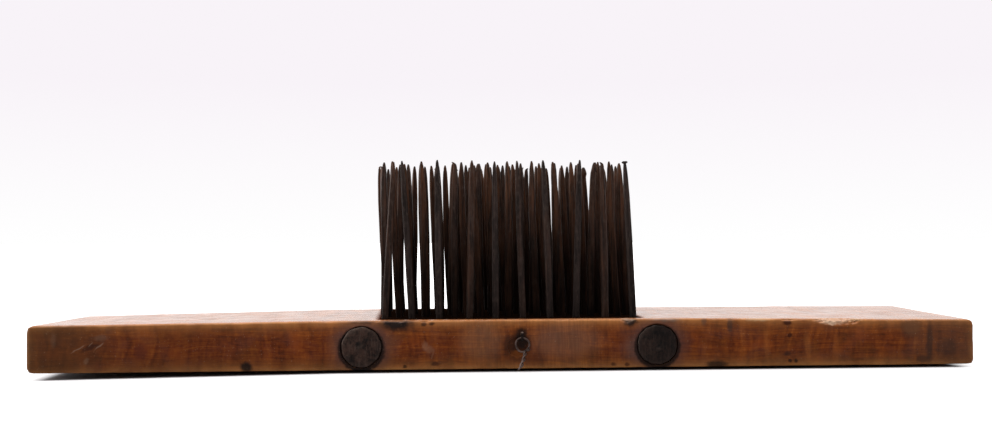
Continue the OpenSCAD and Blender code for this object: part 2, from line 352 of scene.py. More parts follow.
# Holes of the board: square tapered ones for the teeth, stepped round ones for the rods and
# their washers, a shallow one behind the wire loop and one for the nail, cut clean through.
tooth_pitch = 17.9
row_pitch = 11.5
row_count = 9
front_margin = 19
block_shift = 1
tooth_width = 4.4
foot_width = 3.3
foot_gap = 0.3
tooth_length = 102
shortfall = 1
stray = 0.4
mean_lean = -1.4
lean_spread = 1.6
tilt_spread = 0.7
turn_spread = 12
golden_angle = 137.508
front_lean = [3.4, -3.5, -0.6, 1.1, -0.3, -2, -2.2, 1.6, -0.7, -2.7]
front_stray = [-0.05, -0.55, -0.75, 0.75, -0.05, -0.35, -0.75, -1.65, -0.55, -0.15]
hole_play = 0.12
wander_aside = 0.57
# Teeth driven in a little off their line, in mm, by the tooth's number.
driven_aside = {22: 0.5, 32: -0.6, 40: -1.0, 52: -1.0, 63: -0.9}


def scatter(serial, phase):
    """A value from -1 to 1 that doesn't repeat from tooth to tooth."""
    return math.sin(math.radians(serial * golden_angle + phase))


def teeth_of(row):
    """Each tooth of a row as its number, its place on the board and its height in mm."""
    count = 10 - row % 2
    for i in range(count):
        serial = row * 10 + i
        if row == 0:
            aside, lean = front_stray[i], front_lean[i]
        else:
            aside = stray * scatter(serial, 237) + wander_aside * scatter(serial, 193)
            lean = mean_lean + lean_spread * scatter(serial, 287)
        aside += driven_aside.get(serial, 0)
        x = block_shift + (i - (count - 1) / 2) * tooth_pitch + aside
        y = front / MM + front_margin + row * row_pitch + stray * scatter(serial, 354)
        tilt = tilt_spread * scatter(serial, 197)
        turn = turn_spread * scatter(serial, 20)
        stands = (Matrix.Translation((x, y, top / MM))
                  @ Matrix.Rotation(math.radians(lean), 4, "Y")
                  @ Matrix.Rotation(math.radians(tilt), 4, "X")
                  @ Matrix.Rotation(math.radians(turn), 4, "Z"))
        yield i, stands, tooth_length - shortfall * scatter(serial, 89) ** 4


def lathe(bm, profile, place, sides):
    """Spins a profile of (radius, distance along Y) in mm about an axis along Y through place."""
    points = [bm.verts.new((place[0] + r, y, place[1])) for r, y in profile]
    edges = [bm.edges.new(pair) for pair in zip(points, points[1:])]
    bmesh.ops.spin(bm, geom=points + edges, cent=(place[0], 0, place[1]), axis=(0, 1, 0),
                   angle=2 * math.pi, steps=sides, use_merge=True)
    bmesh.ops.remove_doubles(bm, verts=bm.verts, dist=1e-4)


rod_places = (-93.95, 93.95)
rod_height = 14.6
washer_radius = 12.5
washer_thick = 2.6
washer_proud = 0.3
recess_radius = washer_radius + 1.1
rod_radius = 3.5
rod_bore = rod_radius + 0.1
nail_place = (7.1, 18.0)
nail_depth = 14
nail_bore = 0.95
cutter_over = 3
outside_front = front / MM - cutter_over
outside_back = back / MM + cutter_over

bm = bmesh.new()
for row in range(row_count):
    for i, stands, height in teeth_of(row):
        cutter = bmesh.ops.create_cube(bm, size=1)["verts"]
        for vert in cutter:
            below = vert.co.z < 0
            wide = (foot_width if below else tooth_width + 0.1) + 2 * hole_play
            vert.co = Vector((vert.co.x * wide, vert.co.y * wide,
                              -top / MM - 2 if below else cutter_over))
        bmesh.ops.transform(bm, matrix=stands, verts=cutter)
floor_front = front / MM + washer_thick - washer_proud
floor_radius = recess_radius - 0.3
for x in rod_places:
    lathe(bm, [(0, outside_front), (recess_radius, outside_front), (floor_radius, floor_front),
               (rod_bore, floor_front), (rod_bore, -floor_front), (floor_radius, -floor_front),
               (recess_radius, outside_back), (0, outside_back)], (x, rod_height), 48)
lathe(bm, [(0, outside_front), (nail_bore, outside_front), (nail_bore, front / MM + nail_depth),
           (0, front / MM + nail_depth)], nail_place, 16)
bmesh.ops.scale(bm, verts=bm.verts, vec=(MM, MM, MM))
holes = keep(bm, "holes")

recess_middle = (4.4, 13.9)
bm = bmesh.new()
lathe(bm, [(0, outside_front), (6.9, outside_front), (6.3, front / MM + 0.8),
           (4.5, front / MM + 1.15), (0, front / MM + 1.0)], recess_middle, 40)
for vert in bm.verts:
    vert.co.xz += noise.noise_vector(vert.co / 3).xz * 0.35
bmesh.ops.scale(bm, verts=bm.verts, vec=(MM, MM, MM))
recess = keep(bm, "loop_recess")

for cutter in (holes, recess):
    cut = board.modifiers.new(cutter.name, "BOOLEAN")
    cut.operation = "DIFFERENCE"
    cut.solver = "EXACT"
    cut.object = cutter
bored = bpy.data.meshes.new_from_object(board.evaluated_get(bpy.context.evaluated_depsgraph_get()))
board.modifiers.clear()
board.data = bored
bored.name = "plank"
for cutter in (holes, recess):
    bpy.data.objects.remove(cutter)

rubbed_width = 2.6 * MM
arris = bored.attributes.new("arris", "FLOAT", "POINT")
for vert in bored.vertices:
    at = vert.co
    off = sorted([half_length - abs(at.x), back - abs(at.y), min(at.z, top_at(at.x, at.y) - at.z)])
    arris.data[vert.index].value = math.exp(-math.hypot(off[0], off[1]) / rubbed_width)
bored.shade_smooth()
bored.set_sharp_from_angle(angle=math.radians(50))

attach(board, "hatchel")
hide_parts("board")

# Finish of the board: curly hardwood, oiled and dark with handling. The fibres run along it,
# the curl crosses them, iron has stained it blue black, and the arrises are rubbed light and
# carry a painted highlight.
# Real fibres are finer than these, which are drawn as coarse as they need to be to show.
wood, tree, place = start_material("old_oiled_curly_maple")
ring_width = 2.6
fibre = (46, 0.6, 0.6)
curl = (5.5, 60, 48)
fine_curl = (2.6, 40, 9)
patch = (15, 18, 13)
chatter = 2.6
heart_place = (0, 25, -140)
bend_size = (90, 30, 30)
bend_most = 14.0


def grain(place, size, detail, rough=0.5, twist=0.0):
    """What a noise takes in, for a pattern of a size in mm along each axis."""
    place = add(tree, "ShaderNodeVectorMath", {0: place, 1: [1 / s for s in size]},
                operation="MULTIPLY")
    return {"Vector": place, "Scale": 1.0, "Detail": detail, "Roughness": rough,
            "Distortion": twist}


bend = add(tree, "ShaderNodeTexNoise", grain(place, bend_size, 2.0), output="Color")
bend = add(tree, "ShaderNodeVectorMath", {0: bend, 1: (0.5, 0.5, 0.5)}, operation="SUBTRACT")
bend = add(tree, "ShaderNodeVectorMath", {0: bend, "Scale": bend_most}, operation="SCALE")
grown = add(tree, "ShaderNodeVectorMath", {0: bend, 1: place}, operation="ADD")
heart = add(tree, "ShaderNodeVectorMath", {0: grown, 1: heart_place}, operation="SUBTRACT")
heart = add(tree, "ShaderNodeVectorMath", {0: heart, 1: (0.02, 1, 1)}, operation="MULTIPLY")
rings = add(tree, "ShaderNodeTexNoise", {
    "W": add(tree, "ShaderNodeVectorMath", {0: heart}, output="Value", operation="LENGTH"),
    "Scale": 1 / ring_width, "Detail": 3.0, "Roughness": 0.6}, noise_dimensions="1D")
fibres = add(tree, "ShaderNodeTexNoise", grain(grown, fibre, 4.0, 0.62))
curls = add(tree, "ShaderNodeTexNoise", grain(grown, curl, 2.5, 0.5, 0.5))
fine_curls = add(tree, "ShaderNodeTexNoise", grain(grown, fine_curl, 3.0, 0.6, 0.4))
speckle = add(tree, "ShaderNodeTexNoise", grain(place, (2.2, 2.2, 2.2), 3.0, 0.7))
patches = add(tree, "ShaderNodeTexNoise", grain(place, patch, 4.0, 0.6), output="Color")
patch_parts = add(tree, "ShaderNodeSeparateXYZ", {0: patches}).node

tone = 0.0
for pattern, weight in ((rings, 0.20), (fibres, 0.44), (curls, 0.44), (fine_curls, 0.22),
                        (speckle, 0.20)):
    tone = add(tree, "ShaderNodeMath", {0: pattern, 1: weight, 2: tone}, operation="MULTIPLY_ADD")
tone = add(tree, "ShaderNodeMapRange", {0: tone, 1: 0.565, 2: 1.005})
timber = add(tree, "ShaderNodeValToRGB", {0: tone},
             ramp=[(0.0, "#3d1806"), (1.0, "#a05a26"), (0.35, "#642c0f"), (0.65, "#814014")])

# What lies over the wood's own colour, from the bottom up: how much each layer covers, and
# its colour. First patches that lean to mauve, to orange and to olive.
covers = []
for part, low, high, most, shade in ((0, 0.48, 0.66, 0.32, "#5d362e"),
                                     (1, 0.50, 0.68, 0.34, "#9c4a16"),
                                     (2, 0.52, 0.68, 0.28, "#553415")):
    covers.append((add(tree, "ShaderNodeMapRange", {
        0: patch_parts.outputs[part], 1: low, 2: high, 4: most}), shade))

# The arrises are lighter: worn wood, and a painted highlight along the edges.
rubbed_and_highlit = add(tree, "ShaderNodeAttribute", attribute_name="arris", output="Fac")
uneven = add(tree, "ShaderNodeMapRange", {
    0: patch_parts.outputs[1], 1: 0.3, 2: 0.6, 3: 0.4, 4: 1.0})
rubbed_and_highlit = add(tree, "ShaderNodeMath", {0: rubbed_and_highlit, 1: uneven}, operation="MULTIPLY")
covers.append((rubbed_and_highlit, "#c98a50"))

across = add(tree, "ShaderNodeSeparateXYZ", {0: place}, output="X")
height = add(tree, "ShaderNodeSeparateXYZ", {0: place}, output="Z")
torn = add(tree, "ShaderNodeTexNoise", grain(place, (4.0, 4.0, 3.2), 2.0), output="Color")
torn = add(tree, "ShaderNodeVectorMath", {0: torn, 1: (0.5, 0.5, 0.5)}, operation="SUBTRACT")
torn = add(tree, "ShaderNodeVectorMath", {0: torn, "Scale": 1.4}, operation="SCALE")
torn = add(tree, "ShaderNodeVectorMath", {0: torn, 1: place}, operation="ADD")

# Marks of the board, each an oval in mm: its middle and its half sizes along X and Z, its
# colour, how strongly it covers the wood, its slope in degrees if it has one, and its middle
# and half size along Y if they aren't the usual ones. Small marks have the most torn edges.
marks = [
    ((-286, 15.4), (34, 24), "#422b18", 0.65, 0, -70, 4),
    ((283, 13.4), (28, 20), "#523a2c", 0.45, 0, -70, 4),
    ((-222, 15.4), (50, 30), "#43200f", 0.26, 0, -70, 4),
    ((-94, 14.6), (21, 21), "#5b433d", 0.75),
    ((94, 14.6), (21, 21), "#533c38", 0.75),
    ((81, 12.4), (10, 8), "#6d534a", 0.34),
    ((-94, 0.9), (6.5, 5), "#241a17", 0.85),
    ((-94, 31), (9, 2.2), "#33241d", 0.6),
    ((100, 31.2), (11, 2.4), "#665a50", 0.6),
    ((35, 17.4), (26, 13), "#8a6650", 0.35),
    ((-18, 17.4), (16, 14), "#8c6a50", 0.3),
    ((3.4, 14.2), (9.4, 9.9), "#311b10", 0.85),
    ((4.4, 9.2), (5.4, 2.9), "#7c4218", 0.75),
    ((7.8, 17), (5.2, 4.8), "#1a100c", 0.85),
    ((6.8, 22), (4.4, 5), "#1c120e", 0.9),
    ((-72, 30), (11.4, 6), "#211511", 1.05, 0, -70.5, 7),
    ((-54.5, 28.9), (2.2, 1.5), "#2a170d", 0.8),
    ((-49.5, 29), (2.2, 1.2), "#2a170d", 0.8),
    ((-54, 15), (2.2, 3), "#a07a60", 0.26),
    ((-51, 12.8), (2.8, 2.4), "#a07a60", 0.2),
    ((-49.2, 9.4), (0.7, 3.6), "#a07a60", 0.14, -20),
    ((-47.7, 3.7), (3.4, 1.3), "#3a1d12", 0.75),
    ((-66.6, 2.2), (1.6, 1.4), "#2a170d", 0.8),
    ((15.6, 5.6), (8, 4.8), "#4a2318", 0.45),
    ((65.8, 2.3), (2, 1.4), "#381a10", 0.75),
    ((74.3, 2.2), (2, 1.4), "#381a10", 0.75),
    ((76.8, 29), (4.8, 2.8), "#1f1511", 0.95, 0, -70, 4),
    ((74.5, 31.2), (4.8, 1.6), "#a8937f", 0.75, 0, -70, 4),
    ((124, 29.7), (1.8, 3.2), "#5a4338", 0.6),
    ((140.8, 26.9), (2, 5.2), "#3f2f29", 0.65),
    ((132.2, 1.4), (8, 3), "#261b15", 0.85),
    ((164.6, 12.4), (13, 2.2), "#a0602f", 0.22, 95),
    ((191, 12.4), (12, 2.4), "#a06232", 0.24, 94),
    ((210, 11.4), (11, 2.6), "#9c5a2a", 0.2, 93),
    ((160, 31.4), (11, 2.6), "#c4a27c", 0.6, 0, -70, 5),
    ((178, 27.8), (3.2, 1.8), "#3a170b", 0.9),
    ((179.7, 19.9), (1.6, 1.8), "#3a170b", 0.9),
    ((178.2, 7.8), (2.8, 1.8), "#35201a", 0.75),
    ((179.5, 3.3), (1.4, 1.4), "#2a1510", 0.85),
    ((183.4, 3.2), (1.4, 1.4), "#2a1510", 0.85),
    ((208.5, 31), (13, 4.6), "#cda98c", 0.9, 0, -70, 7),
    ((221, 30.4), (7, 2.2), "#d2b48e", 0.7, 0, -70, 4),
    ((207, 28.6), (6.5, 2.4), "#cfae92", 0.8),
    ((259.3, 24), (8.6, 8.2), "#452e24", 0.5),
    ((259.3, 24.6), (6.6, 6), "#704a30", 0.55),
    ((271.3, 15.4), (2.4, 15), "#372822", 0.65),
    ((267, 3.9), (5, 2.6), "#3b2b25", 0.55),
    ((283, 11.2), (7.5, 6.5), "#3c2b25", 0.5),
    ((-230.7, 13.4), (4.5, 6), "#4b1f18", 0.6),
    ((-165.7, 2.8), (4.2, 4.2), "#1b1512", 0.92),
    ((-262, 15.8), (6.8, 1.7), "#2e150e", 0.7, 22),
    ((-255.5, 21.9), (4.5, 2.2), "#7c6252", 0.24),
    ((-284, 20.4), (1.8, 5.4), "#6b5444", 0.24),
    ((-269, 15), (5.4, 0.45), "#a58c7a", 0.26, 30),
    ((-256.2, 16.7), (3.6, 0.45), "#a58c7a", 0.28, 39),
    ((-261, 18), (2.4, 0.4), "#9a816e", 0.26, 45),
    ((-264, 7.4), (2.6, 1.6), "#7d6450", 0.35, 60),
    ((262, 30.7), (28, 3), "#4d362b", 0.35, 0, -52, 14),
    ((-190, 30.9), (60, 3), "#5c3a26", 0.3, 0, 10, 20),
    ((150, 31.4), (30, 3), "#5a3a2a", 0.3, 0, 30, 26),
    ((-236, 30.4), (10, 4), "#c9a67c", 0.6, 0, 70, 5),
    ((-94, 14.6), (20, 20), "#54403b", 0.75, 0, 70, 3),
    ((94, 14.6), (20, 20), "#54403b", 0.75, 0, 70, 3),
]
full_tear = 2.5
ragged = add(tree, "ShaderNodeTexNoise", grain(place, (2.6, 2.6, 2.2), 2.0))
ragged = add(tree, "ShaderNodeMapRange", {0: ragged, 1: 0.25, 2: 0.75, 3: -0.2, 4: 0.2})
usual = (0, -70, 3)
for (x, z), (wide, high), shade, strength, *rest in marks:
    slope, y, thick = (*rest, *usual[len(rest):])
    oval = add(tree, "ShaderNodeMapping", {
        "Vector": torn, "Location": (x, y, z), "Rotation": (0, -math.radians(slope), 0),
        "Scale": (wide, thick, high)}, vector_type="TEXTURE")
    oval = add(tree, "ShaderNodeVectorMath", {0: oval}, output="Value", operation="LENGTH")
    oval = add(tree, "ShaderNodeMath", {
        0: ragged, 1: min(1, full_tear / high), 2: oval}, operation="MULTIPLY_ADD")
    covered = add(tree, "ShaderNodeMapRange", {0: oval, 1: 1.25, 2: 0.45, 4: strength},
                  interpolation_type="SMOOTHSTEP")
    covers.append((covered, shade))

# A dark ring round each washer, centred a little below it: iron stain in the wood, and painted
# shade along the edge of the recess.
for x in rod_places:
    off = add(tree, "ShaderNodeMapping", {
        "Vector": place, "Location": (x, 0, rod_height - 1.3), "Scale": (1.03, 1000, 1)},
        vector_type="TEXTURE")
    off = add(tree, "ShaderNodeVectorMath", {0: off}, output="Value", operation="LENGTH")
    off = add(tree, "ShaderNodeMath", {0: ragged, 1: 2.4, 2: off}, operation="MULTIPLY_ADD")
    stain_and_shade = add(tree, "ShaderNodeMapRange", {
        0: off, 1: recess_radius + 1.9, 2: recess_radius - 0.2, 4: 0.9},
        interpolation_type="SMOOTHSTEP")
    covers.append((stain_and_shade, "#1a100d"))

# Fine pale specks of dust lie in the pores.
specks = add(tree, "ShaderNodeTexNoise", grain(place, (0.9, 0.9, 0.9), 1.0))
specks = add(tree, "ShaderNodeMapRange", {0: specks, 1: 0.70, 2: 0.80, 4: 0.3})
covers.append((specks, "#a58a72"))

# Between the teeth and a little way round them the top is nearly black: rust and grease, and
# painted shade among the crowded teeth.
block_reach = (row_count - 1) / 2 * row_pitch
block_middle = (block_shift, front / MM + front_margin + block_reach + 4, top / MM)
block_half = (9 / 2 * tooth_pitch, block_reach + 13, 3)
beyond = distance_outside(tree, torn, block_middle, block_half)
rust_and_shade = add(tree, "ShaderNodeMapRange", {0: beyond, 1: 8.0, 2: 1.5, 4: 0.99},
             interpolation_type="SMOOTHSTEP")
covers.append((rust_and_shade, "#090503"))


def layered(under, covers):
    """The colour under with each cover's colour over it, in turn."""
    for cover, shade in covers:
        under = add(tree, "ShaderNodeMix", {0: cover, 1: under, 2: colour(shade)}, data_type="RGBA")
    return under


timber = layered(timber, covers)

# The plane has chattered across the curl, most of all near the middle of the plank.
wave = add(tree, "ShaderNodeMath", {0: curls, 1: 32.0}, operation="MULTIPLY")
wave = add(tree, "ShaderNodeMath", {
    0: across, 1: 2 * math.pi / chatter, 2: wave}, operation="MULTIPLY_ADD")
wave = add(tree, "ShaderNodeMath", {0: wave}, operation="SINE")
wave_area = add(tree, "ShaderNodeMath", {0: across, 1: 24.0}, operation="SUBTRACT")
wave_area = add(tree, "ShaderNodeMath", {0: wave_area}, operation="ABSOLUTE")
wave_area = add(tree, "ShaderNodeMapRange", {0: wave_area, 1: 70.0, 2: 25.0, 3: 0.2})
wave = add(tree, "ShaderNodeMath", {0: wave, 1: wave_area}, operation="MULTIPLY")
ripple = add(tree, "ShaderNodeMapRange", {0: wave, 1: -1.0, 2: 1.0, 3: 0.92, 4: 1.08})
timber = add(tree, "ShaderNodeVectorMath", {0: timber, "Scale": ripple}, operation="SCALE")

# Faces that look up are paled and brightened: painted sheen and painted light from above. Hands
# have polished the top, and everything is darker towards the foot.
faces_up = add(tree, "ShaderNodeSeparateXYZ", {
    0: add(tree, "ShaderNodeNewGeometry", output="Normal")}, output="Z")
# Painted sheen: faces that look up are mixed towards a pale colour.
paled_by_sheen = add(tree, "ShaderNodeMapRange", {0: faces_up, 1: 0.5, 2: 0.95, 4: 0.6})
paled_by_sheen = add(tree, "ShaderNodeMath", {0: paled_by_sheen, 1: rust_and_shade}, operation="SUBTRACT", use_clamp=True)
sheen_colour = layered(colour("#6c432c"), [(tone, "#9b6d4c")])
timber = add(tree, "ShaderNodeMix", {0: paled_by_sheen, 1: timber, 2: sheen_colour}, data_type="RGBA")
# Painted light from above: faces that look up are made up to 1.8 times brighter.
brightened_from_above = add(tree, "ShaderNodeMapRange", {0: faces_up, 1: 0.3, 2: 0.95, 3: 1.0, 4: 1.8})
timber = add(tree, "ShaderNodeVectorMath", {0: timber, "Scale": brightened_from_above}, operation="SCALE")
# Darker towards the foot of the board, from 14 mm high down to the bottom.
darker_towards_foot = add(tree, "ShaderNodeMapRange", {0: height, 2: 14.0, 3: 0.71})
timber = add(tree, "ShaderNodeVectorMath", {0: timber, "Scale": darker_towards_foot}, operation="SCALE")

relief = add(tree, "ShaderNodeMath", {0: fibres, 1: 0.7}, operation="MULTIPLY")
relief = add(tree, "ShaderNodeMath", {0: wave, 1: 0.10, 2: relief}, operation="MULTIPLY_ADD")
relief = add(tree, "ShaderNodeMath", {0: speckle, 1: 0.5, 2: relief}, operation="MULTIPLY_ADD")
relief = add(tree, "ShaderNodeBump", {"Height": relief, "Strength": 1.0, "Distance": 0.09 * MM})
polished = add(tree, "ShaderNodeMapRange", {0: faces_up, 2: 0.95, 4: 0.24})
gloss = add(tree, "ShaderNodeMapRange", {
    0: patch_parts.outputs[2], 1: 0.3, 2: 0.7, 3: 0.40, 4: 0.52})
gloss = add(tree, "ShaderNodeMath", {0: gloss, 1: polished}, operation="SUBTRACT")
gloss = add(tree, "ShaderNodeMath", {
    0: rust_and_shade, 1: 0.5, 2: gloss}, operation="MULTIPLY_ADD", use_clamp=True)
clean = add(tree, "ShaderNodeMapRange", {0: rust_and_shade, 1: 0.1, 2: 0.8, 3: 1.0, 4: 0.0})
shine = add(tree, "ShaderNodeMath", {0: polished, 1: 0.75, 2: 0.09}, operation="MULTIPLY_ADD")
shine = add(tree, "ShaderNodeMath", {0: shine, 1: clean}, operation="MULTIPLY")
shaded = add(tree, "ShaderNodeBsdfPrincipled", {
    "Base Color": timber, "Roughness": gloss, "Specular IOR Level": shine, "Normal": relief})
add(tree, "ShaderNodeOutputMaterial", {0: shaded})
bored.materials.clear()
bored.materials.append(wood)

# Teeth: square spikes forged by hand from wrought iron and driven through the board, each
# with its own lean. Use has bent, hooked and burred some of the points.
taper = [(0, 1), (0.45, 1), (0.8, 0.84), (0.9, 0.70), (0.95, 0.57), (0.985, 0.38), (1, 0.19)]
rings_at = [0.0, 0.05, 0.14, 0.24, 0.35, 0.46, 0.57, 0.68, 0.77, 0.84, 0.89, 0.93, 0.955, 0.97,
            0.982, 0.992, 1.0]
chamfer = 0.14
front_slim = 0.94
inner_wide = 1.04
hammered = 0.07
front_bow = 0.16
inner_bow = 0.81
inner_tip = 0.28
bow_depth = 0.5
hook_long = 2.8
hook_turn = 75
curl_turn = 150
burr_spread = 3.4
blunt_spread = 1.6
flattened = 1.5
barb_ring = 12
barb_reach = 1.5
barb_drop = 0.8
front_foot_shade = 0.45
inner_foot_shade = 0.94
bent_points = {(0, 8): "hook", (0, 9): "burr", (4, 0): "curl", (1, 2): "hook", (3, 3): "blunt",
               (7, 5): "hook", (5, 5): "hook", (4, 5): "barb", (1, 7): "blunt", (6, 3): "curl",
               (8, 6): "hook", (2, 6): "barb", (8, 2): "hook", (6, 8): "blunt"}
# How far use has pushed the points of some teeth aside, in mm, by the tooth's number.
pushed_aside = {12: 1.2, 16: -1.6, 17: 2.0, 22: -2.0, 27: -0.7, 31: 0.9, 32: 3.6, 41: -1.9,
                51: -1.2, 52: 1.1, 56: -1.0, 61: 2.4, 67: 0.9, 71: 0.7, 72: 2.1, 75: 0.8,
                76: 1.8, 87: 1.6, 88: -2.0}


def width_at(share):
    """Width of a tooth, as a share of its full width, at a share of its height."""
    for (low, wide), (high, narrow) in zip(taper, taper[1:]):
        if share <= high:
            return wide + (narrow - wide) * (share - low) / (high - low)
    return taper[-1][1]


blank = bmesh.new()
bmesh.ops.create_cube(blank, size=1)
bmesh.ops.translate(blank, verts=blank.verts, vec=(0, 0, 0.5))
long_edges = [e for e in blank.edges if abs(e.verts[0].co.z - e.verts[1].co.z) > 0.5]
bmesh.ops.bevel(blank, geom=long_edges, offset=chamfer, segments=1, profile=0.5,
                affect="EDGES", material=-1)
cut_across(blank, 2, [(i + 1) / (len(rings_at) + 1) for i in range(len(rings_at))])


def forge(row, i, stands, height):
    """Shapes one tooth from the blank: its foot in the board, its taper, bow and point."""
    tooth = blank.copy()
    serial = row * 10 + i
    bow_x = (inner_bow if row else front_bow) * scatter(serial, 1)
    tip_x = (inner_tip if row else 0) * scatter(serial, 29.5)
    pushed = pushed_aside.get(serial, 0)
    bow_y = bow_depth * scatter(serial, 130)
    point = bent_points.get((row, i), "plain")
    for vert in tooth.verts:
        ring = round(vert.co.z * (len(rings_at) + 1)) - 1
        if ring < 0:
            share, z = -0.3, foot_gap - top / MM
            wide = foot_width
        else:
            share = rings_at[min(ring, len(rings_at) - 1)]
            z = share * height
            wide = tooth_width * (front_slim if row == 0 else inner_wide) * width_at(share)
        blow = Vector((serial * 3.1, ring * 0.9, 0))
        x = vert.co.x * wide * (1 + hammered * noise.noise(blow))
        y = vert.co.y * wide * (1 + hammered * noise.noise(blow + Vector((0, 0, 9))))
        rise = max(share, 0)
        x += (bow_x * rise * (1 - rise) * 4 + tip_x * rise ** 2 + pushed * rise ** 1.5
              + 0.12 * noise.noise(blow * 0.5) * rise)
        y += bow_y * rise * (1 - rise) * 4
        above = (z - (height - hook_long)) / hook_long
        if ring > len(rings_at) - 1:
            z = height - 0.05
        if point in ("hook", "curl") and above > 0:
            swing = above * math.radians(hook_turn if point == "hook" else curl_turn)
            way = 1 if serial % 2 else -1
            reach = hook_long / max(swing / above, 0.1)
            x, z = (way * reach * (1 - math.cos(swing)) + x * math.cos(swing),
                    height - hook_long + reach * math.sin(swing) - way * x * math.sin(swing) * 0.6)
        if point == "burr" and share > 0.99:
            x *= burr_spread
            y *= flattened
        if point == "blunt" and share > 0.95:
            x *= blunt_spread
            y *= flattened
        if point == "barb" and ring == barb_ring and vert.co.x > 0.3 and vert.co.y < 0:
            x += barb_reach
            z -= barb_drop
        vert.co = Vector((x, y, z))
    bmesh.ops.transform(tooth, matrix=Matrix.Scale(MM, 4) @ stands, verts=tooth.verts)
    return tooth


# Forged iron under an old brown oxide: dark and nearly matt, with streaks drawn out along the
# tooth, some teeth browner and some greyer, and a faint shine on the high spots of its pits.
# Towards the board it is painted black and dull, a painted shade that is deepest among the
# inner rows. The real pits are finer.
iron, tree, place = start_material("forged_iron_brown_oxide")
scale_pits = add(tree, "ShaderNodeTexNoise", grain(place, (1.5, 1.5, 4), 4.0, 0.65))
rusting = add(tree, "ShaderNodeTexNoise", grain(place, (9, 9, 26), 3.0, 0.6))
drawn_out = add(tree, "ShaderNodeTexNoise", grain(place, (1.3, 1.3, 30), 3.0, 0.6, 0.3))
own_tone = add(tree, "ShaderNodeAttribute", attribute_name="tone", output="Fac")
browned = add(tree, "ShaderNodeMath", {0: rusting, 1: own_tone}, operation="ADD")
browned = add(tree, "ShaderNodeMapRange", {0: browned, 1: 0.45, 2: 1.1})
bare = add(tree, "ShaderNodeMapRange", {0: drawn_out, 1: 0.36, 2: 0.66})
grey = layered(colour("#170e0a"), [(bare, "#3c2e29")])
rust = layered(colour("#26140a"), [(bare, "#603b25")])
oxide = add(tree, "ShaderNodeMix", {0: browned, 1: grey, 2: rust}, data_type="RGBA")
worn_bright = add(tree, "ShaderNodeMapRange", {0: scale_pits, 1: 0.50, 2: 0.72, 4: 0.6})
# Painted shade at the foot of each tooth, made uneven by the rust pattern.
foot_shaded = add(tree, "ShaderNodeAttribute", attribute_name="foot_shade", output="Fac")
patchy_shade = add(tree, "ShaderNodeMapRange", {0: rusting, 1: 0.3, 2: 0.7, 3: 1.0, 4: 0.75})
foot_shaded = add(tree, "ShaderNodeMath", {0: foot_shaded, 1: patchy_shade}, operation="MULTIPLY")
oxide = layered(oxide, [(worn_bright, "#54463e"), (foot_shaded, "#090504")])
matt = add(tree, "ShaderNodeMapRange", {0: foot_shaded, 3: 0.42, 4: 0.85})
sheen = add(tree, "ShaderNodeMapRange", {0: foot_shaded, 3: 0.22, 4: 0.04})
pitted = add(tree, "ShaderNodeBump", {"Height": scale_pits, "Strength": 1.0, "Distance": 0.12 * MM})
add(tree, "ShaderNodeOutputMaterial", {0: add(tree, "ShaderNodeBsdfPrincipled", {
    "Base Color": oxide, "Metallic": 0.12, "Roughness": matt, "Specular IOR Level": sheen,
    "Normal": pitted})})

for row in range(row_count):
    bm = bmesh.new()
    for i, stands, height in teeth_of(row):
        tooth = forge(row, i, stands, height)
        loose = bpy.data.meshes.new("tooth")
        tooth.to_mesh(loose)
        tooth.free()
        bm.from_mesh(loose)
        bpy.data.meshes.remove(loose)
    teeth = keep(bm, f"teeth_{row + 1}", crisp=28)
    tone = teeth.data.attributes.new("tone", "FLOAT", "POINT")
    foot_shade = teeth.data.attributes.new("foot_shade", "FLOAT", "POINT")
    each = len(teeth.data.vertices) // (10 - row % 2)
    for vert in teeth.data.vertices:
        # The front teeth are greyer and the rest browner.
        own = scatter(row * 10 + vert.index // each, 61)
        tone.data[vert.index].value = 0.62 + 0.45 * own if row else 0.3 * own - 0.05
        # The painted shade rises from the board, and is deeper on the inner rows than on the front
        # row.
        share = (vert.co.z - top) / (tooth_length * MM)
        fallen = min(max(1.5 - 1.8 * share, 0), 1)
        foot_shade.data[vert.index].value = fallen * (front_foot_shade if row == 0 else inner_foot_shade)
    teeth.data.materials.append(iron)
    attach(teeth, "hatchel")
    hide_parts(f"tooth_row_{row + 1}")
blank.free()

# Washers: round plates cut from forged iron and let into the front and back edges of the
# board over the tie rods. Their outlines and faces keep the marks of the hammer.

# Black forge scale: almost black and dull, clouded and pitted, with short grey strokes where
# it is scraped. Its rims and punched edges are rubbed lighter and carry a painted highlight on
# one side, the punched hollows are darkened, and the right-hand plates are darker to the upper
# right.
iron_plate, tree, place = start_material("forged_iron_plate_black")
pits = add(tree, "ShaderNodeTexNoise", grain(place, (1.8, 1.8, 1.8), 5.0, 0.7))
strokes = add(tree, "ShaderNodeTexNoise", grain(place, (0.6, 4, 6), 3.0, 0.6, 0.6))
clouds = add(tree, "ShaderNodeTexNoise", grain(place, (8, 8, 8), 4.0, 0.6))
dull = add(tree, "ShaderNodeMath", {0: pits, 1: clouds}, operation="ADD")
dull = add(tree, "ShaderNodeMapRange", {0: dull, 1: 0.82, 2: 1.2})
stroked = add(tree, "ShaderNodeMapRange", {0: strokes, 1: 0.52, 2: 0.72, 4: 0.5})
rim_and_highlight = add(tree, "ShaderNodeAttribute", attribute_name="rubbed_and_highlit", output="Fac")
rim_and_highlight = add(tree, "ShaderNodeMath", {0: rim_and_highlight, 1: pits}, operation="MULTIPLY")
darkened_spots = add(tree, "ShaderNodeAttribute", attribute_name="darkened", output="Fac")
plate = layered(colour("#110805"), [
    (dull, "#3f2b23"), (stroked, "#5a4b42"), (rim_and_highlight, "#7d6b60"), (darkened_spots, "#060302")])
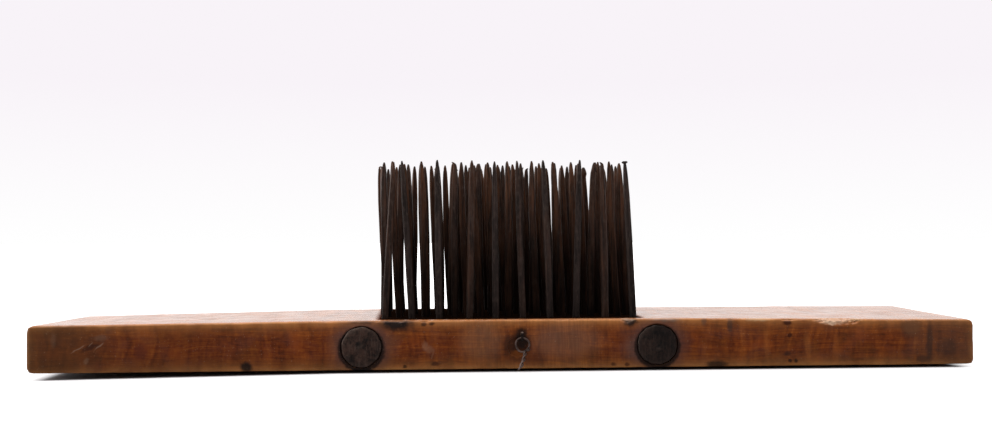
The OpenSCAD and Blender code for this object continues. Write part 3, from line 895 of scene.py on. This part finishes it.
# The right-hand plates and rivet are darker towards their upper right.
darker_up_right = add(tree, "ShaderNodeVectorMath", {0: place, 1: (1.0, 0.0, 0.7)}, output="Value",
              operation="DOT_PRODUCT")
darker_up_right = add(tree, "ShaderNodeMapRange", {0: darker_up_right, 1: 60.0, 2: 120.0, 3: 1.0, 4: 0.28})
plate = add(tree, "ShaderNodeVectorMath", {0: plate, "Scale": darker_up_right}, operation="SCALE")
beaten = add(tree, "ShaderNodeMath", {0: strokes, 1: 0.4, 2: pits}, operation="MULTIPLY_ADD")
beaten = add(tree, "ShaderNodeBump", {"Height": beaten, "Strength": 1.0, "Distance": 0.22 * MM})
add(tree, "ShaderNodeOutputMaterial", {0: add(tree, "ShaderNodeBsdfPrincipled", {
    "Base Color": plate, "Metallic": 0.15, "Roughness": 0.45, "Specular IOR Level": 0.16,
    "Normal": beaten})})

beaten_from = 69
dent_depth = 0.16


def beat(vert, middle, seed, flats):
    """Moves a point of a round plate or rivet as hammering would. Gives back its radius."""
    x, y, z = vert.co.x - middle[0], vert.co.y, vert.co.z - middle[1]
    radius = math.hypot(x, z)
    angle = math.atan2(z, x)
    out = Vector((math.cos(angle) * 1.6, math.sin(angle) * 1.6, seed))
    grow = 1 + 0.05 * noise.noise(out) + 0.016 * math.cos(flats * angle + seed)
    vert.co.x = middle[0] + x * grow
    vert.co.z = middle[1] + z * grow
    dent = (noise.noise(Vector((x / 4.5, z / 4.5, seed * 3)))
            + 0.5 * noise.noise(Vector((x / 1.9, z / 1.9, seed))))
    vert.co.y += dent_depth * dent * (1 if abs(y) > beaten_from else 0)
    return radius * grow


def finish_plate(bm, name, radius, cad_node, punched=(0, 0)):
    """Turns a beaten plate or rivet into a piece in metres, rubbed bright along a circle and given
    a painted highlight on one side of it.
    """
    bmesh.ops.scale(bm, verts=bm.verts, vec=(MM, MM, MM))
    piece = keep(bm, name, crisp=32)
    middle = (rod_places[0] if "left" in name else rod_places[1], rod_height)
    rivet = radius < rod_radius
    lit_way = Vector((0.3, -0.95) if rivet else (-0.55, 0.83))
    # The punched hollow of each rivet is darkened, more widely on the left one.
    darkened_radius = 2.2 if "left" in name else 1.2
    rubbed_and_highlit = piece.data.attributes.new("rubbed_and_highlit", "FLOAT", "POINT")
    darkened = piece.data.attributes.new("darkened", "FLOAT", "POINT")
    for vert in piece.data.vertices:
        off = Vector((vert.co.x / MM - middle[0] - punched[0],
                      vert.co.z / MM - middle[1] - punched[1]))
        # Painted highlight: the rubbed circle is brightest on the side towards lit_way.
        lit = 0.2 + 0.8 * max(0, off.normalized().dot(lit_way)) ** 2
        darkened.data[vert.index].value = math.exp(-(off.length / darkened_radius) ** 2) if rivet else 0
        rubbed_and_highlit.data[vert.index].value = lit * math.exp(-abs(off.length - radius) / 0.8)
    piece.data.materials.append(iron_plate)
    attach(piece, "hatchel")
    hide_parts(cad_node)


face = front / MM - washer_proud
for side, x in zip(("left", "right"), rod_places):
    for edge, mirror in (("front", 1), ("back", -1)):
        bm = bmesh.new()
        profile = [(rod_bore, face + washer_thick), (washer_radius - 0.3, face + washer_thick),
                   (washer_radius, face + washer_thick - 0.5), (washer_radius, face + 0.45),
                   (washer_radius - 0.35, face + 0.1)]
        profile += [(r, face) for r in (11.4, 10, 8.4, 6.8, 5.2)]
        profile += [(rod_bore, face + 0.1), (rod_bore, face + washer_thick)]
        lathe(bm, profile, (x, rod_height), 72)
        seed = 5.3 + x * 0.01 + mirror
        for vert in bm.verts:
            beat(vert, (x, rod_height), seed, 9 if side == "left" else 14)
            vert.co.y = max(vert.co.y, face - 0.05) * mirror
        finish_plate(bm, f"washer_{side}_{edge}", washer_radius - 0.2, f"{side}_{edge}_washer")

# Tie rods: two iron rods driven through the width of the board. Both ends are riveted over
# the washers with a hollow punch, which keeps the plank from splitting along the teeth.
rivet_proud = 0.55
rivet_reach = 70.88
for side, x, hollow, punched in (("left", rod_places[0], 0.75, (-2.0, 2.0)),
                                 ("right", rod_places[1], 0.3, (0.6, -0.8))):
    bm = bmesh.new()
    head = [(0, hollow - 0.05), (1.1, hollow - 0.1), (1.9, 0.5), (2.6, 0.38), (3.3, 0.36),
            (4.0, 0.42), (4.4, 0.56), (4.2, 0.62), (rod_radius, 0.65)]
    outer = front / MM - washer_proud - rivet_proud
    lathe(bm, [(r, outer + y) for r, y in head] + [(r, -outer - y) for r, y in reversed(head)],
          (x, rod_height), 40)
    for vert in bm.verts:
        radius = beat(vert, (x, rod_height), 2.1 + x * 0.02, 7)
        vert.co.y = min(max(vert.co.y, -rivet_reach), rivet_reach)
        if abs(vert.co.y) > beaten_from:
            vert.co.x += punched[0] * max(0, 1 - radius / 4)
            vert.co.z += punched[1] * max(0, 1 - radius / 4)
    finish_plate(bm, f"tie_rod_{side}", 1.2, f"{side}_tie_rod", punched)

# Nail: a forged nail driven into the front edge beside the middle, then bent up so that the
# wire loop can't slip off it. The hammer has left its head lopsided.


def bar(bm, path, thicknesses, round_steps):
    """Adds a bar of metal bent along a path of points in mm, with closed ends, to bm."""
    line = bpy.data.curves.new("bar", "CURVE")
    line.dimensions = "3D"
    line.bevel_depth = MM / 2
    line.bevel_resolution = round_steps
    line.use_fill_caps = True
    run = line.splines.new("POLY")
    run.points.add(len(path) - 1)
    for point, at, thick in zip(run.points, path, thicknesses):
        point.co = [c * MM for c in at] + [1]
        point.radius = thick
    bent = bpy.data.objects.new("bar", line)
    skin = bpy.data.meshes.new_from_object(bent)
    bm.from_mesh(skin)
    bpy.data.objects.remove(bent)
    bpy.data.curves.remove(line)
    bpy.data.meshes.remove(skin)


nail_thick = [0.9, 1.5, 1.8, 1.8, 1.8, 1.75, 1.7, 1.75, 1.7, 1.7, 1.6, 1.9, 2.0, 1.4]
nail_bend = front / MM - 3.6
nail_slope = math.radians(58)
nail_hook = 6.6
nail_tip = 21
tip_clean = 23.1
tip_lit = 23.2
bm = bmesh.new()
path = [(nail_place[0], front / MM + nail_depth - t * (nail_depth + 3.1), nail_place[1])
        for t in (0, 0.3, 0.6, 0.9, 1)]
for t in (0.06, 0.2, 0.4, 0.6, 0.76, 0.82, 0.84, 0.93, 1.0):
    path.append((nail_place[0] + 0.12 * math.sin(t * 5),
                 nail_bend - nail_hook * t * math.cos(nail_slope),
                 nail_place[1] + nail_hook * t * math.sin(nail_slope)))
bar(bm, path, nail_thick, 2)
bmesh.ops.remove_doubles(bm, verts=bm.verts, dist=1e-6)
for vert in bm.verts:
    if vert.co.z / MM > nail_tip:
        vert.co += noise.noise_vector(vert.co / (1.5 * MM)) * 0.25 * MM
nail = keep(bm, "nail", crisp=40)
tip = nail.data.attributes.new("rubbed_and_highlit", "FLOAT", "POINT")
shade = nail.data.attributes.new("darkened", "FLOAT", "POINT")
# A painted glint at the nail's tip, and a darkened shank below it.
for vert in nail.data.vertices:
    tip.data[vert.index].value = 0.8 if vert.co.z > tip_lit * MM else 0.0
    shade.data[vert.index].value = 0.0 if vert.co.z > tip_clean * MM else 0.85
nail.data.materials.append(iron_plate)
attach(nail, "hatchel")
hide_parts("wire_nail")

# Wire loop: one length of annealed iron wire, doubled, hung over the nail by its ring and
# twisted below it into a tail. One cut end stands up beside the ring.

# Annealed iron wire gives a soft, dull gleam of grey brown metal, clouded by tarnish.
iron_wire, tree, place = start_material("iron_wire_grey_brown")
tarnish = add(tree, "ShaderNodeTexNoise", grain(place, (2.4, 2.4, 2.4), 4.0, 0.65))
clouded = add(tree, "ShaderNodeMapRange", {0: tarnish, 1: 0.38, 2: 0.66})
drawn = layered(colour("#261915"), [(clouded, "#6e5850")])
dented = add(tree, "ShaderNodeBump", {"Height": tarnish, "Strength": 1.0, "Distance": 0.08 * MM})
add(tree, "ShaderNodeOutputMaterial", {0: add(tree, "ShaderNodeBsdfPrincipled", {
    "Base Color": drawn, "Metallic": 0.5, "Roughness": 0.42, "Normal": dented})})

wire_thick = 1.2
wire_front = front / MM - 1.5
ring_radius = 4.3
ring_lean = math.radians(10)
nail_radius = 0.9
hang_play = 0.12
drop = ring_radius - wire_thick / 2 - nail_radius - hang_play
ring_middle = Vector((nail_place[0] + drop * math.sin(ring_lean), wire_front,
                      nail_place[1] - drop * math.cos(ring_lean)))
knot_angle = -64
spare_end = -26
tail_tip = Vector((4.2, front / MM - 20, 1.2))
tail_steps = 36
tail_turns = 1.75


def on_ring(angle, radius, forward=0):
    """A point of the ring at an angle in degrees from its right side."""
    wobble = 0.12 * math.sin(math.radians(3 * angle + 40))
    return ring_middle + Vector(((radius + wobble) * math.cos(math.radians(angle)), -forward,
                                 (radius + wobble) * math.sin(math.radians(angle))))


knot = ring_middle + Vector((ring_radius * math.cos(math.radians(knot_angle)), 0,
                             ring_radius * math.sin(math.radians(knot_angle))))
tail = knot - tail_tip
across_tail = tail.cross(Vector((0, 1, 0))).normalized()
through_tail = tail.cross(across_tail).normalized()


def twisted(side):
    """The points of one strand of the tail, from its tip up to the knot."""
    strand = []
    for step in range(tail_steps + 1):
        t = step / tail_steps
        turn = 2 * math.pi * tail_turns * t + (math.pi if side < 0 else 0)
        off = across_tail * math.cos(turn) + through_tail * math.sin(turn)
        sag = Vector((0.5 * math.sin(math.pi * t), 0, 0))
        strand.append(tail_tip + tail * t + off * (0.78 - 0.12 * t) + sag)
    return strand


bm = bmesh.new()
ring_strand = twisted(1) + [on_ring(a, ring_radius, 0.0 if a < 200 else (a - 200) / 85 * 1.0)
                            for a in range(knot_angle + 12, 286, 6)]
spare_strand = twisted(-1)[6:] + [on_ring(a, ring_radius + 0.5 + (a - knot_angle) * 0.02, 0.4)
                                  for a in range(knot_angle + 14, spare_end, 4)]
for strand in (ring_strand, spare_strand):
    bar(bm, strand, [wire_thick] * len(strand), 3)
bmesh.ops.remove_doubles(bm, verts=bm.verts, dist=1e-6)
wire = keep(bm, "wire_loop_twisted", crisp=45)
wire.data.materials.append(iron_wire)
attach(wire, "hanging_wire")
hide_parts("wire_loop")

bpy.context.scene.view_settings.view_transform = "Standard"
low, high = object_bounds()
{"cad": [list(cad_low), list(cad_high)], "visual": [list(low), list(high)]}
